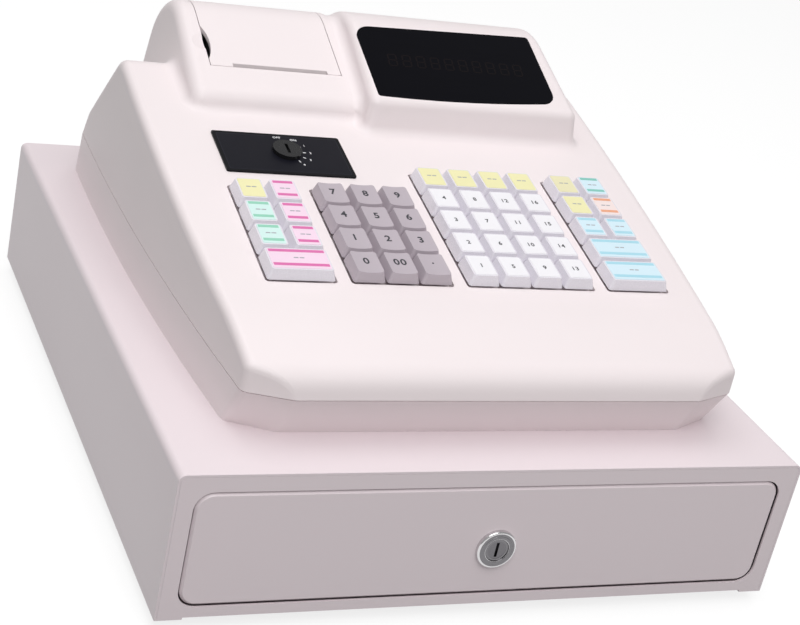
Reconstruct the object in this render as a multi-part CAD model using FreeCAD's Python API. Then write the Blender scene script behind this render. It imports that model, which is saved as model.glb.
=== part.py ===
import FreeCAD, Part
import math
import os

# A small cash register: a keyboard, printer and display case that stands on a steel cash drawer cabinet.
# Millimetres. X points right, Y points to the back and Z points up.
# The origin lies on the floor, under the middle of the overall box.

Vector = FreeCAD.Vector
ALONG_X = Vector(1, 0, 0)
ALONG_Y = Vector(0, 1, 0)
ALONG_Z = Vector(0, 0, 1)

# Cabinet
cabinet_width = 350.0
cabinet_depth = 405.0
cabinet_height = 82.0
cabinet_sheet = 1.2
cabinet_bend = 4.0
cabinet_lip = 14.0
foot_height = 8.0
foot_radius = 11.0
foot_inset = 26.0
foot_taper = 1.0
foot_dimple_radius = 2.8
foot_dimple_depth = 2.6
sheet_gap = 0.1
lock_proud = 2.5

# Drawer opening, panel and tray
opening_width = 331.0
opening_low = 7.0
opening_high = 72.5
opening_corner = 10.0
panel_gap = 0.9
panel_thickness = 2.0
panel_bevel = 1.4
panel_return = 9.0
tray_half_width = 157.0
tray_sheet = 1.0
tray_low = 11.0
tray_high = 61.0
tray_front = 20.0
tray_back_room = 85.0
runner_low = 29.0
runner_height = 13.0
runner_width = 7.0
rail_sheet = 1.5
rail_gap = 0.4
rail_back_room = 13.0
rail_inner_gap = 3.6

# Till insert and its bill clips
till_wall = 2.0
till_floor = 2.0
till_gap = 0.4
till_height = 47.0
coin_cups = 5
coin_cup_length = 82.0
coin_cup_round = 16.0
bill_bays = 3
bill_bay_round = 4.0
clip_pivot_back = 14.0
clip_pivot_height = 36.0
clip_barrel_radius = 3.6
clip_stub_radius = 2.0
clip_stub_length = 1.6
clip_side_gap = 0.3
clip_arm_length = 84.0
clip_arm_width = 26.0
clip_arm_thickness = 1.2
clip_arm_drop = 22.0
clip_tip_radius = 4.0
running_gap = 0.08

# Drawer lock
lock_height = 35.5
lock_rim_radius = 11.0
lock_rim_edge = 1.0
lock_body_radius = 9.5
lock_body_length = 13.0
lock_plug_radius = 6.6
lock_plug_recess = 0.6
lock_slot_width = 1.6
lock_slot_length = 8.5
lock_slot_depth = 3.0
cam_length = 30.5
cam_width = 9.0
cam_thickness = 2.0
cam_gap = 0.4
lock_tab_width = 20.0
lock_tab_foot = 12.0

# Drawer latch
latch_pivot_x = -14.0
latch_pivot_back = 44.0
latch_low = 12.0
latch_thickness = 4.0
latch_arm_width = 8.0
latch_reach = 26.0
latch_tail = 15.0
latch_nose = 13.0
latch_pivot_radius = 3.0
latch_pivot_proud = 1.0
latch_open_degrees = 20.0
striker_radius = 3.0
striker_tab_width = 10.0
striker_gap = 0.4
tail_pin_radius = 1.5
plunger_radius = 4.0
plunger_length = 36.0
tongue_thickness = 2.0
tongue_reach = 9.0
tongue_slot_gap = 0.35
solenoid_length = 44.0
solenoid_size = 24.0
solenoid_wall = 2.0

# Register case
case_width = 300.0
case_lean = 0.02
side_front_draw = 9.5
side_back_draw = 2.0
case_wall = 2.5
case_depth = 368.0
base_setback = 38.5
seam_setback = 24.5
seam_rise = 26.0
seam_groove = 0.6
seam_groove_depth = 0.7
case_back_lean = 2.0
base_chamfer_x = 25.0
base_chamfer_y = 12.0
seam_chamfer_y = 9.0
case_corner = 5.0
deck_slope = 11.5
deck_height = 50.6
deck_mark = 60.0
nose_front = 27.0
nose_height = 38.5
nose_radius = 16.0
deck_start = 60.0
deck_start_radius = 150.0
deck_end = 298.6
shoulder_low = 44.2
shoulder_back = 355.6
shoulder_radius = 14.0
deck_edge_round = 5.0

# Raised housing for the printer and the display
hump_left = 118.2
hump_right = 125.8
hump_split = -15.2
hump_lean = 0.12
printer_edge_round = 7.0
display_edge_round = 5.0
hump_overlap = 8.0
hump_foot_round = 6.0
display_foot_round = 6.0
display_foot_front = 229.6
display_brow_front = 236.6
display_brow_height = 106.2
window_slope = 21.5
display_back_radius = 45.0
display_back_centre = 312.6
display_brow_round = 6.0
printer_foot_front = 237.6
printer_brow_front = 248.6
printer_brow_height = 98.7
printer_brow_round = 11.0
slot_front = 271.6
printer_ridge_radius = 30.0
printer_ridge_centre = 326.9
hump_inner_extra = 1.6

# Display window and module
window_left = -8.2
window_width = 120.0
window_depth = 63.0
window_rise = 4.0
window_from_brow = 4.0
window_corner = 11.0
window_sharp = 2.0
window_bow = 2.2
window_thickness = 2.0
window_backing = 6.0
window_gap = 0.2
digit_width = 100.0
digit_depth = 30.0
module_border = 4.0
module_thickness = 9.0

# Mode plate and its key switch
plate_left = -111.7
plate_width = 76.5
plate_front = 186.6
plate_length = 39.6
plate_thickness = 1.0
plate_corner = 1.5
plate_gap = 0.2
rotor_from_left = 40.5
rotor_from_front = 22.0
rotor_radius = 8.5
rotor_proud = 2.4
rotor_length = 15.0
rotor_slot_width = 1.8
rotor_slot_length = 9.0
rotor_slot_depth = 2.0
rotor_boss_wall = 3.0
rotor_flange = 1.5

# Keys
key_pitch = 19.2
row_pitch = 20.8
block_gap = 8.8
field_shift = 4.1
field_start = 32.4
key_gap = 0.9
key_height = 6.2
key_skirt = 0.3
key_front_slope = 1.6
key_back_slope = 0.5
key_side_slope = 1.9
key_corner = 1.6
key_dish_radius = 38.0
key_dish_depth = 0.55
key_travel = 3.0
stem_width = 7.0
stem_length = 15.0
stem_gap = 0.4
pocket_depth = 4.2
pocket_floor = 2.2
pocket_margin = 0.6
pocket_corner = 2.0
board_thickness = 1.6
key_bottom_gap = 1.5
board_post_radius = 3.0

# Printer cover, printer and paper
cover_left = -102.2
cover_right = -21.2
cover_slope = 21.2
cover_gap = 0.5
cover_bead_radius = 3.5
cover_hinge_angle = 16.0
cover_pin_radius = 1.5
cover_pin_length = 3.0
cover_ear = 4.5
cover_ear_wall = 2.5
paper_slot_left = -88.7
paper_slot_width = 59.0
paper_slot_opening = 2.6
notch_from_slot = 5.5
notch_length = 27.0
notch_depth = 3.2
dish_radius = 20.0
dish_depth = 1.3
roll_radius = 24.0
roll_width = 57.5
roll_core_radius = 6.2
roll_from_front = 306.6
roll_height = 88.2
spindle_gap = 0.08
bucket_gap = 2.5
bucket_wall = 2.0
cheek_thickness = 2.0
cheek_gap = 1.2
platen_radius = 6.0
platen_shaft_radius = 2.5
platen_from_front = 263.6
platen_height = 90.2
head_gap = 0.4
leg_width = 14.0

# Electronics in the case
main_board_width = 190.0
main_board_length = 120.0
main_board_front = 120.0
main_board_side_room = 42.5
main_board_rise = 8.0
chip_size = 22.0
chip_height = 3.0
chip_shares = [(0.3, 0.5, 1.0), (0.6, 0.3, 0.7), (0.8, 0.65, 0.8), (0.15, 0.25, 0.6)]
board_boss_radius = 3.5
supply_width = 64.0
supply_length = 84.0
supply_height = 42.0
supply_side_room = 38.0
core_width = 30.0
coil_inset = 5.0
coil_round = 4.0
inlet_width = 22.0
inlet_height = 14.0
inlet_depth = 9.0

# Fasteners
screw_radius = 2.0
screw_head_radius = 3.8
screw_head_height = 2.2
screw_length = 7.0
screw_hole_gap = 0.05
screw_bottom_gap = 1.0
screw_boss_radius = 5.0
screw_boss_height = 9.0
cross_width = 1.0
cross_length = 4.4
cross_depth = 1.1

# One overrun serves all cuts
over = 5.0

# How closely a point has to match a place to be taken as lying there
match_gap = 1.0
fine_match = 0.001

# Derived places
front_y = lock_proud - (cabinet_depth + lock_proud) / 2
back_y = front_y + cabinet_depth
floor_z = foot_height
top_z = foot_height + cabinet_height
half_cabinet = cabinet_width / 2
opening_half = opening_width / 2
tan_slope = math.tan(math.radians(deck_slope))
tan_window = math.tan(math.radians(window_slope))
seam_z = top_z + seam_rise
case_back = front_y + case_depth
board_drop = stem_length + key_travel + key_bottom_gap
tray_length = cabinet_depth - tray_front - tray_back_room
rail_length = cabinet_depth - tray_front - rail_back_room
main_board_left = main_board_side_room - case_width / 2
supply_right = case_width / 2 - supply_side_room

os.makedirs("parts", exist_ok=True)


def save(name, *solids):
    """Write one sub-part, alone or as a group of separate solids."""
    shape = solids[0] if len(solids) == 1 else Part.makeCompound(list(solids))
    shape.exportStep("parts/" + name + ".step")


def block(x0, x1, y0, y1, z0, z1):
    return Part.makeBox(x1 - x0, y1 - y0, z1 - z0, Vector(x0, y0, z0))


def rod(start, axis, radius, length):
    return Part.makeCylinder(radius, length, start, axis)


def joined(*shapes):
    """Fuse shapes into one clean solid."""
    result = shapes[0]
    for shape in shapes[1:]:
        result = result.fuse(shape)
    result = result.removeSplitter()
    return result.Solids[0] if len(result.Solids) == 1 else result


def without(shape, *tools):
    for tool in tools:
        shape = shape.cut(tool)
    return shape.Solids[0] if len(shape.Solids) == 1 else shape


def largest(shape):
    return max(shape.Solids, key=lambda solid: solid.Volume)


def rounded_wire(corners):
    """Closed wire through corners, each a point and the radius that rounds it."""
    count = len(corners)
    edges = []
    ends = []
    for index in range(count):
        point, radius = corners[index]
        before = corners[index - 1][0]
        after = corners[(index + 1) % count][0]
        to_before = (before - point).normalize()
        to_after = (after - point).normalize()
        if radius == 0:
            ends.append((point, point))
            continue
        half_angle = to_before.getAngle(to_after) / 2
        reach = radius / math.tan(half_angle)
        start = point + to_before * reach
        end = point + to_after * reach
        middle_way = (to_before + to_after).normalize()
        middle = point + middle_way * (radius / math.sin(half_angle) - radius)
        edges.append((index, Part.Arc(start, middle, end).toShape()))
        ends.append((start, end))
    arcs = dict(edges)
    path = []
    for index in range(count):
        if index in arcs:
            path.append(arcs[index])
        start = ends[index][1]
        end = ends[(index + 1) % count][0]
        if (end - start).Length > fine_match:
            path.append(Part.LineSegment(start, end).toShape())
    return Part.Wire(path)


def side_wire(corners, x):
    """Wire in a plane across X from (y, z, radius) corners."""
    return rounded_wire([(Vector(x, y, z), radius) for y, z, radius in corners])


def plan_wire(corners, z):
    """Wire in a level plane from (x, y, radius) corners."""
    return rounded_wire([(Vector(x, y, z), radius) for x, y, radius in corners])


def front_wire(corners, y):
    """Wire in a plane across Y from (x, z, radius) corners."""
    return rounded_wire([(Vector(x, y, z), radius) for x, z, radius in corners])


def side_prism(corners, x0, x1):
    return Part.Face(side_wire(corners, x0)).extrude(ALONG_X * (x1 - x0))


def plan_prism(corners, z0, z1):
    return Part.Face(plan_wire(corners, z0)).extrude(ALONG_Z * (z1 - z0))


def front_prism(corners, y0, y1):
    return Part.Face(front_wire(corners, y0)).extrude(ALONG_Y * (y1 - y0))


def rectangle(x0, x1, y0, y1, radius):
    return [(x0, y0, radius), (x1, y0, radius), (x1, y1, radius), (x0, y1, radius)]


def loft(*wires):
    return Part.makeLoft(list(wires), True, True)


def placed(shape, placement):
    copy = shape.copy()
    copy.Placement = placement.multiply(copy.Placement)
    return copy


def slope_frame(y, z, degrees):
    """Frame on a slope: X stays, Y runs up the slope and Z leaves it squarely."""
    return FreeCAD.Placement(Vector(0, y, z), FreeCAD.Rotation(ALONG_X, degrees))


def edges_near(shape, test):
    """Edges whose middle point and direction pass a test."""
    found = []
    for edge in shape.Edges:
        middle = edge.valueAt((edge.FirstParameter + edge.LastParameter) / 2)
        if test(middle, edge):
            found.append(edge)
    return found


def deck_z(y_from_front):
    """Height of the key deck, at a distance behind the cabinet's front."""
    return top_z + deck_height + tan_slope * (y_from_front - deck_mark)


def half_case(rise):
    """Half width of the case at a height over the cabinet's top."""
    return case_width / 2 - case_lean * rise


deck_frame = slope_frame(front_y + deck_mark, deck_z(deck_mark), deck_slope)


def deck_corners(inset):
    """Side profile of the low body, pulled in by a wall."""
    corners = [
        (front_y + seam_setback, seam_z, 0),
        (front_y + nose_front, top_z + nose_height, nose_radius),
        (front_y + deck_start, deck_z(deck_start), deck_start_radius),
        (front_y + deck_end, deck_z(deck_end), shoulder_radius),
        (front_y + shoulder_back, top_z + shoulder_low, shoulder_radius),
        (case_back - case_back_lean, seam_z, 0),
    ]
    face = Part.Face(side_wire(corners, 0))
    if inset == 0:
        return face
    return face.makeOffset2D(-inset)


def case_wire(z, inset, share):
    """Plan outline of the case: flat front and back, two cut front corners and bowed sides.

    The share is 0 with the foot's setbacks and 1 with the seam's.
    """
    half = half_case(z - top_z) - inset
    half_front = half - side_front_draw
    half_back = half - side_back_draw
    front = front_y + base_setback + share * (seam_setback - base_setback) + inset
    cut_y = base_chamfer_y + share * (seam_chamfer_y - base_chamfer_y)
    back = case_back - case_back_lean * share - inset
    middle = (front + cut_y + back) / 2
    rear_left = Vector(-half_back, back, z)
    side_left = Vector(-half_front, front + cut_y, z)
    front_left = Vector(base_chamfer_x - half_front, front, z)
    front_right = Vector(half_front - base_chamfer_x, front, z)
    side_right = Vector(half_front, front + cut_y, z)
    rear_right = Vector(half_back, back, z)
    return Part.Wire([
        Part.Arc(rear_left, Vector(-half, middle, z), side_left).toShape(),
        Part.LineSegment(side_left, front_left).toShape(),
        Part.LineSegment(front_left, front_right).toShape(),
        Part.LineSegment(front_right, side_right).toShape(),
        Part.Arc(side_right, Vector(half, middle, z), rear_right).toShape(),
        Part.LineSegment(rear_right, rear_left).toShape(),
    ])


def side_cutters(half, z, lean, depth_from, depth_to, height):
    """Two blocks whose inner faces lean in, to trim both sides of a body."""
    degrees = math.degrees(math.atan(lean))
    cutters = []
    for side in (-1, 1):
        slab = block(0, case_width, depth_from, depth_to, -over, height)
        if side < 0:
            slab = block(-case_width, 0, depth_from, depth_to, -over, height)
        turn = FreeCAD.Rotation(ALONG_Y, -side * degrees)
        cutters.append(placed(slab, FreeCAD.Placement(Vector(side * half, 0, z), turn)))
    return cutters


def low_body(inset):
    """Body under the deck, from the seam up, as a solid pulled in by a wall."""
    column = loft(case_wire(seam_z, inset, 1), case_wire(seam_z + cabinet_height, inset, 1))
    face = deck_corners(inset)
    face.translate(ALONG_X * (-case_width))
    profile = face.extrude(ALONG_X * (2 * case_width))
    return largest(profile.common(column))


def arc_points(centre, radius, degrees_list):
    """Points on a circle in the side plane; degrees count back from straight up."""
    points = []
    for degrees in degrees_list:
        angle = math.radians(degrees)
        points.append((centre[0] + radius * math.sin(angle), centre[1] + radius * math.cos(angle)))
    return points


def display_centre():
    """Centre of the display housing's rounded back, which the window's plane touches."""
    angle = math.radians(window_slope)
    y = front_y + display_back_centre
    touch_y = y - display_back_radius * math.sin(angle)
    brow_z = top_z + display_brow_height
    touch_z = brow_z + tan_window * (touch_y - front_y - display_brow_front)
    return (y, touch_z - display_back_radius * math.cos(angle))


def cover_z(y_from_front):
    """Height of the printer cover's plane, at a distance behind the cabinet's front."""
    rise = math.tan(math.radians(cover_slope)) * (y_from_front - printer_brow_front)
    return top_z + printer_brow_height + rise


def printer_centre():
    """Centre of the printer housing's ridge, which the cover's plane touches."""
    angle = math.radians(cover_slope)
    y = front_y + printer_ridge_centre
    touch_y = y - printer_ridge_radius * math.sin(angle)
    touch_z = cover_z(touch_y - front_y)
    return (y, touch_z - printer_ridge_radius * math.cos(angle))


def housing_face(low_corners, centre, radius, slope, inset):
    """Side profile of a raised housing: straight runs, a round ridge and an upright back."""
    touch, crown, rear = arc_points(centre, radius, [-slope, 90 / 2 - slope / 2, 90])
    path = rounded_wire([(Vector(0, y, z), r) for y, z, r in low_corners + [(touch[0], touch[1], 0),
                                                                          (rear[0], rear[1], 0),
                                                                          (rear[0], low_corners[0][1], 0)]])
    edges = []
    for edge in path.Edges:
        ends = [vertex.Point for vertex in edge.Vertexes]
        spans = abs(ends[0].y - touch[0]) < fine_match and abs(ends[1].y - rear[0]) < fine_match
        if spans and abs(ends[0].z - touch[1]) < fine_match:
            points = [Vector(0, y, z) for y, z in (touch, crown, rear)]
            edge = Part.Arc(*points).toShape()
        edges.append(edge)
    face = Part.Face(Part.Wire(edges))
    if inset == 0:
        return face
    return face.makeOffset2D(-inset)


def display_face(inset):
    low = [
        (front_y + display_foot_front, top_z + seam_rise + case_wall, 0),
        (front_y + display_brow_front, top_z + display_brow_height, display_brow_round),
    ]
    return housing_face(low, display_centre(), display_back_radius, window_slope, inset)


def printer_face(inset):
    low = [
        (front_y + printer_foot_front, top_z + seam_rise + case_wall, 0),
        (front_y + printer_brow_front, top_z + printer_brow_height, printer_brow_round),
    ]
    return housing_face(low, printer_centre(), printer_ridge_radius, cover_slope, inset)


def hump_body(inset):
    """Raised housings for the printer, on the left, and the display, on the right."""
    rise = deck_z(printer_foot_front) - top_z
    side_inset = inset if inset == 0 else inset + hump_inner_extra
    shapes = []
    for face, left, right in (
        (printer_face(inset), -hump_left, hump_split + hump_overlap),
        (display_face(inset), hump_split, hump_right),
    ):
        face.translate(ALONG_X * (-case_width))
        profile = face.extrude(ALONG_X * (2 * case_width))
        middle = (left + right) / 2
        half = (right - left) / 2 - side_inset + hump_lean * (rise - seam_rise)
        cutters = side_cutters(half, seam_z, hump_lean, front_y, case_back + over, case_width)
        for cutter in cutters:
            cutter.translate(ALONG_X * middle)
        column = block(middle - 2 * half, middle + 2 * half, front_y, case_back + over, seam_z, 3 * seam_z)
        shapes.append(largest(without(profile.common(column), *cutters)))
    return shapes


def housing_edges(shape):
    """All edges that run up, over and down a housing's two sides."""
    foot_z = seam_z + case_wall

    def test(middle, edge):
        across = abs(edge.tangentAt(edge.FirstParameter).x) > 1 - 1e-3
        on_foot = abs(middle.z - foot_z) < fine_match
        return not across and not on_foot

    return edges_near(shape, test)


def rounded_low_body():
    """Body under the deck with its top and corner edges rounded."""
    low = low_body(0)

    def test(middle, edge):
        across = abs(edge.tangentAt(edge.FirstParameter).x) > 1 - 1e-3
        on_seam = abs(middle.z - seam_z) < fine_match
        return not across and not on_seam

    return low.makeFillet(deck_edge_round, edges_near(low, test))


def case_form():
    """Outer form of the top case with its rounded edges."""
    printer, display = hump_body(0)
    printer = printer.makeFillet(printer_edge_round, housing_edges(printer))
    display = display.makeFillet(display_edge_round, housing_edges(display))
    return joined(rounded_low_body(), printer, display)


def case_hollow():
    """Space inside the top case's walls, open below the seam."""
    low = low_body(case_wall)
    printer, display = hump_body(case_wall)
    mouth = loft(case_wire(seam_z - over, case_wall, 1), case_wire(seam_z + 2 * case_wall, case_wall, 1))
    return joined(low, printer, display, mouth)


def foot_edges(shape, left_side):
    """Edges where a housing's front meets the deck: the printer's on the left, or the display's."""
    def test(middle, edge):
        y = middle.y - front_y
        on_deck = abs(middle.z - deck_z(y)) < match_gap and display_foot_front < y < deck_end
        across = abs(edge.tangentAt(edge.FirstParameter).x) > 1 - 1e-2
        if left_side:
            return on_deck and -hump_left - case_wall < middle.x < hump_split - hump_overlap
        return on_deck and across and 0 < middle.x < hump_right

    return edges_near(shape, test)


def key_rows(block_name):
    """Row numbers of one block of keys, from the front, with the keys' columns and widths."""
    rows = {
        "left": [(0, [(0, 2)]), (1, [(0, 1), (1, 1)]), (2, [(0, 1), (1, 1)]), (3, [(0, 1), (1, 1)])],
        "number": [(row, [(0, 1), (1, 1), (2, 1)]) for row in range(4)],
        "department": [(row, [(column, 1) for column in range(4)]) for row in range(5)],
        "right": [(0, [(0, 2)]), (1, [(0, 2)])] + [(row, [(0, 1), (1, 1)]) for row in (2, 3, 4)],
    }
    return rows[block_name]


block_columns = {"left": 2, "number": 3, "department": 4, "right": 2}
block_deep = {"left": 4, "number": 4, "department": 5, "right": 5}
field_width = sum(block_columns.values()) * key_pitch + 3 * block_gap


def block_left(block_name):
    """Left edge of a block of keys."""
    x = field_shift - field_width / 2
    for name, columns in block_columns.items():
        if name == block_name:
            return x
        x += columns * key_pitch + block_gap
    return x


def key_places(block_name):
    """Left, front, width and depth of each key of a block, in the deck's frame."""
    places = []
    for row, keys in key_rows(block_name):
        for column, units in keys:
            x = block_left(block_name) + column * key_pitch
            places.append((x, field_start + row * row_pitch, units * key_pitch, row_pitch))
    return places


def key_shape(place, dished):
    """One key: a tapered cap on a square stem."""
    x, y, width, depth = place
    half_gap = key_gap / 2
    x0 = x + half_gap
    x1 = x + width - half_gap
    y0 = y + half_gap
    y1 = y + depth - half_gap
    low = plan_wire(rectangle(x0, x1, y0, y1, key_corner), key_skirt)
    high_corners = rectangle(x0 + key_side_slope, x1 - key_side_slope, y0 + key_front_slope,
                             y1 - key_back_slope, key_corner)
    high = plan_wire(high_corners, key_height)
    cap = loft(low, high)
    middle_x = (x0 + x1) / 2
    middle_y = (y0 + y1) / 2
    if dished:
        dish_start = Vector(middle_x, y0 - over, key_height + key_dish_radius - key_dish_depth)
        cap = without(cap, rod(dish_start, ALONG_Y, key_dish_radius, depth + 2 * over))
    half = stem_width / 2
    stem = block(middle_x - half, middle_x + half, middle_y - half, middle_y + half, -stem_length,
                 key_skirt + key_height / 2)
    return placed(joined(cap, stem), deck_frame)


def key_pocket(block_name, grow, z0, z1):
    """Recess of a block of keys, in the deck's frame."""
    x0 = block_left(block_name) - pocket_margin - grow
    x1 = block_left(block_name) + block_columns[block_name] * key_pitch + pocket_margin + grow
    y0 = field_start - pocket_margin - grow
    y1 = field_start + block_deep[block_name] * row_pitch + pocket_margin + grow
    return placed(plan_prism(rectangle(x0, x1, y0, y1, pocket_corner), z0, z1), deck_frame)


def stem_hole(place):
    """Guide hole for one key's stem."""
    x, y, width, depth = place
    middle_x = x + width / 2
    middle_y = y + depth / 2
    half = stem_width / 2 + stem_gap
    hole = block(middle_x - half, middle_x + half, middle_y - half, middle_y + half,
                 -pocket_depth - pocket_floor - over, 0)
    return placed(hole, deck_frame)


window_frame = slope_frame(front_y + display_brow_front, top_z + display_brow_height, window_slope)


def window_outline(grow, z0, z1):
    """Display window: it climbs to the right, with two sharp and two round corners and a bowed lower edge."""
    x0 = window_left - grow
    x1 = window_left + window_width + grow
    y0 = window_from_brow - grow
    y1 = window_from_brow + window_depth + grow
    climb = window_rise / (x1 - x0)
    corners = [(x0, y0, window_sharp), (x1, y0 + window_rise, window_corner),
               (x1, y1 + window_rise, window_sharp), (x0, y1, window_corner)]
    plate = plan_prism(corners, z0, z1)
    bow_start = Vector(x0 + window_sharp, y0 + climb * window_sharp, z0)
    bow_end = Vector(x1 - window_corner, y0 + climb * (x1 - x0 - window_corner), z0)
    bow_middle = (bow_start + bow_end) / 2 - ALONG_Y * window_bow
    arc = Part.Arc(bow_start, bow_middle, bow_end).toShape()
    chord = Part.LineSegment(bow_end, bow_start).toShape()
    bow = Part.Face(Part.Wire([arc, chord])).extrude(ALONG_Z * (z1 - z0))
    return placed(joined(plate, bow), window_frame)


def digit_block(grow, z0, z1):
    """Block behind the window's middle, as wide as the digits and a border."""
    middle_x = window_left + window_width / 2
    middle_y = window_from_brow + (window_depth + window_rise) / 2
    half_x = digit_width / 2 + grow
    half_y = digit_depth / 2 + grow
    shape = block(middle_x - half_x, middle_x + half_x, middle_y - half_y, middle_y + half_y, z0, z1)
    return placed(shape, window_frame)


def plate_shape(grow, z0, z1):
    """Mode plate's outline on the deck."""
    y0 = (plate_front - deck_mark) / math.cos(math.radians(deck_slope)) - grow
    y1 = y0 + plate_length + 2 * grow
    x0 = plate_left - grow
    x1 = plate_left + plate_width + grow
    return placed(plan_prism(rectangle(x0, x1, y0, y1, plate_corner), z0, z1), deck_frame)


rotor_x = plate_left + rotor_from_left
rotor_y = (plate_front - deck_mark) / math.cos(math.radians(deck_slope)) + rotor_from_front


def rotor_rod(radius, z0, z1):
    return placed(rod(Vector(rotor_x, rotor_y, z0), ALONG_Z, radius, z1 - z0), deck_frame)


def mode_rotor():
    """Round key switch with a slot for its key, held by a flange under the deck."""
    depth = -rotor_length
    body = rotor_rod(rotor_radius, depth, plate_thickness + rotor_proud)
    low = depth - rotor_flange
    flange = rotor_rod(rotor_radius + rotor_boss_wall, low, depth)
    top = plate_thickness + rotor_proud
    slot = block(rotor_x - rotor_slot_width / 2, rotor_x + rotor_slot_width / 2,
                 rotor_y - rotor_slot_length / 2, rotor_y + rotor_slot_length / 2,
                 top - rotor_slot_depth, top + over)
    return without(joined(body, flange), placed(slot, deck_frame))


hinge_angle = math.radians(cover_hinge_angle)
ridge_y, ridge_z = printer_centre()
hinge_reach = printer_ridge_radius - cover_bead_radius
hinge_y = ridge_y + hinge_reach * math.sin(hinge_angle)
hinge_z = ridge_z + hinge_reach * math.cos(hinge_angle)


def cover_window(grow, floor):
    """Column through which the printer cover's opening is cut."""
    front = front_y + slot_front - grow
    column = block(cover_left - grow, cover_right + grow, front, hinge_y, floor,
                   top_z + 2 * display_brow_height)
    bead = rod(Vector(cover_left - grow, hinge_y, hinge_z), ALONG_X, cover_bead_radius + grow,
               cover_right - cover_left + 2 * grow)
    return joined(column, bead)


def cover_swing():
    """Room behind the hinge for the cover's face as it stands up."""
    back = hinge_y + cover_bead_radius + cover_gap
    return block(cover_left - cover_gap, cover_right + cover_gap, hinge_y, back, hinge_z,
                 top_z + 2 * display_brow_height)


def printer_skin():
    """The printer housing's wall as a band that runs along X."""
    outer = printer_face(0)
    outer.translate(ALONG_X * (-case_width / 2))
    inner = printer_face(case_wall)
    inner.translate(ALONG_X * (-case_width / 2))
    return outer.extrude(ALONG_X * case_width).cut(inner.extrude(ALONG_X * case_width))


def notch_cutter():
    """Crescent at the cover's left edge, where a finger nail lifts it."""
    half = notch_length / 2
    radius = (half * half + notch_depth * notch_depth) / (2 * notch_depth)
    centre_x = cover_left + notch_depth - radius
    centre_y = front_y + slot_front + notch_from_slot + half
    return rod(Vector(centre_x, centre_y, top_z), ALONG_Z, radius, 2 * display_brow_height)


def printer_cover():
    """Lid over the paper roll, with a bead and two pins at its back and a slot for the paper."""
    band = printer_skin().common(cover_window(0, seam_z))
    lid = largest(band)
    bead = rod(Vector(cover_left, hinge_y, hinge_z), ALONG_X, cover_bead_radius, cover_right - cover_left)
    lid = joined(lid, bead)
    front = front_y + slot_front
    slot = block(paper_slot_left, paper_slot_left + paper_slot_width, front - over,
                 front + paper_slot_opening, seam_z, top_z + 2 * display_brow_height)
    lid = without(lid, slot, notch_cutter())
    pin_low = rod(Vector(cover_left - cover_pin_length, hinge_y, hinge_z), ALONG_X, cover_pin_radius,
                  cover_pin_length + case_wall)
    pin_high = rod(Vector(cover_right - case_wall, hinge_y, hinge_z), ALONG_X, cover_pin_radius,
                   cover_pin_length + case_wall)
    return joined(lid, pin_low, pin_high)


def cover_ears():
    """Ears under the case's skin that hold the cover's pins."""
    size = cover_bead_radius + cover_ear_wall / 2
    ears = []
    for x0 in (cover_left - cover_gap - cover_ear, cover_right + cover_gap):
        ears.append(block(x0, x0 + cover_ear, hinge_y - size, hinge_y + size, hinge_z - size, hinge_z))
    return ears


def cover_pin_hole():
    start = cover_left - cover_gap - cover_ear + cover_gap
    length = cover_right - cover_left + 2 * cover_ear
    return rod(Vector(start, hinge_y, hinge_z), ALONG_X, cover_pin_radius + running_gap, length)


def screw(place, axis):
    """Pan-head screw; place is the face under its head and axis points along its shank."""
    head = rod(place - axis * screw_head_height, axis, screw_head_radius, screw_head_height)
    shank = rod(place, axis, screw_radius, screw_length)
    solid = joined(head, shank)
    half = cross_width / 2
    reach = cross_length / 2
    base = place - axis * screw_head_height
    inside = base + axis * cross_depth
    low = min(base.z, inside.z)
    high = max(base.z, inside.z)
    for hx, hy in ((half, reach), (reach, half)):
        solid = without(solid, block(base.x - hx, base.x + hx, base.y - hy, base.y + hy, low, high))
    return solid


case_screw_places = []
for sx in (-1, 1):
    for y in (base_setback + 4 * screw_boss_radius, case_depth - 4 * screw_boss_radius):
        case_screw_places.append((sx * (case_width / 2 - 6 * screw_boss_radius), front_y + y))

cabinet_screw_places = []
for sx in (-1, 1):
    for share in (0.2, 0.5, 0.8):
        cabinet_screw_places.append((sx * (half_cabinet - cabinet_lip / 2), front_y + cabinet_depth * share))


def screw_holes(places, z0, z1):
    return [rod(Vector(x, y, z0), ALONG_Z, screw_radius + screw_hole_gap, z1 - z0) for x, y in places]


def make_screws():
    under_top = top_z - cabinet_sheet
    solids = [screw(Vector(x, y, under_top), ALONG_Z) for x, y in case_screw_places]
    solids += [screw(Vector(x, y, floor_z), ALONG_Z) for x, y in cabinet_screw_places]
    save("pan_head_screws", *solids)


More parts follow.
